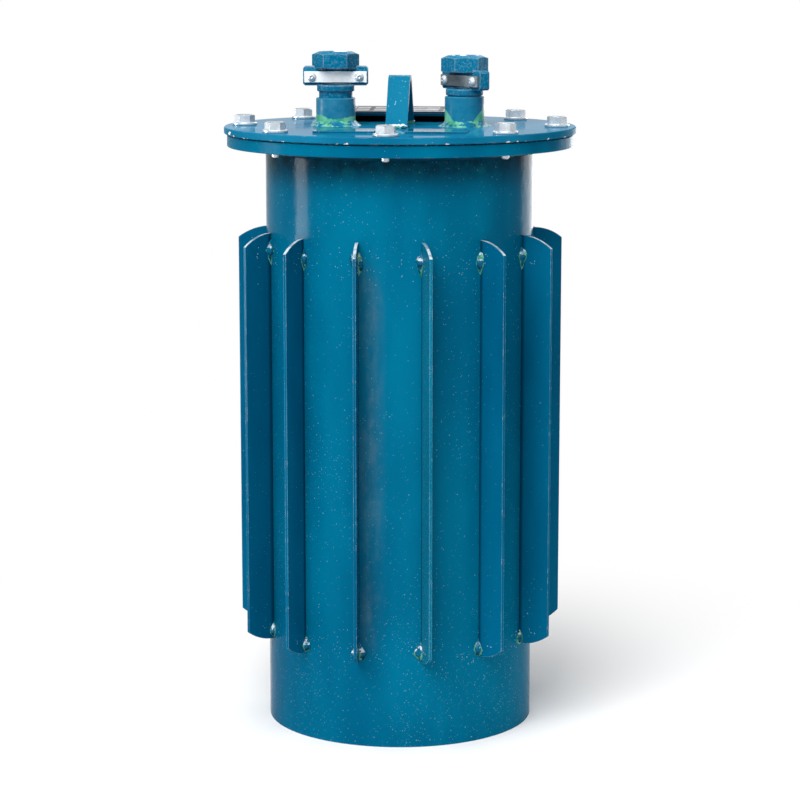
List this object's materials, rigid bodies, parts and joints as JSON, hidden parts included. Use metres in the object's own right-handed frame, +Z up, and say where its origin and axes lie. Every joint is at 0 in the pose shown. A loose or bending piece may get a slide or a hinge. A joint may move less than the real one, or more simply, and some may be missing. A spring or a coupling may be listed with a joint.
{
  "type": "explosion-proof dry-type transformer",
  "caption": "Round finned steel tank with a bolted cover, blanked cable glands, a lifting handle and plates, standing upright on the floor.",
  "frame": {"origin": "on the tank's axis at floor level", "axes": "+Z up along the tank's axis, +X towards the right-hand gland, front towards -Y"},
  "size_m": [0.357, 0.357, 0.6875],
  "materials": {
    "blue_paint": "gloss enamel, worn at the edges",
    "zinc_steel": "bright zinc plate",
    "black_rubber": "matt",
    "plate_metal": "dark printed plate"
  },
  "bodies": {
    "root": {"tank_shell": "blue_paint", "base_plate": "blue_paint", "tank_flange": "blue_paint", "cover_plate": "blue_paint", "flange_weld": "blue_paint", "fin_01": "blue_paint", "fin_02": "blue_paint", "fin_03": "blue_paint", "fin_04": "blue_paint", "fin_05": "blue_paint", "fin_06": "blue_paint", "fin_07": "blue_paint", "fin_08": "blue_paint", "fin_09": "blue_paint", "fin_10": "blue_paint", "fin_11": "blue_paint", "fin_12": "blue_paint", "fin_13": "blue_paint", "gland_body_left": "blue_paint", "gland_body_right": "blue_paint", "gland_weld_left": "blue_paint", "gland_weld_right": "blue_paint", "sealing_ring_left": "black_rubber", "sealing_ring_right": "black_rubber", "blanking_disc_left": "zinc_steel", "blanking_disc_right": "zinc_steel", "gland_nut_left": "blue_paint", "gland_nut_right": "blue_paint", "clamp_strap_left": "zinc_steel", "clamp_strap_right": "zinc_steel", "lifting_handle": "blue_paint", "nameplate_bracket": "blue_paint", "nameplate": "plate_metal", "label_plate_left": "blue_paint", "label_plate_right": "blue_paint"}
  },
  "joints": []
}
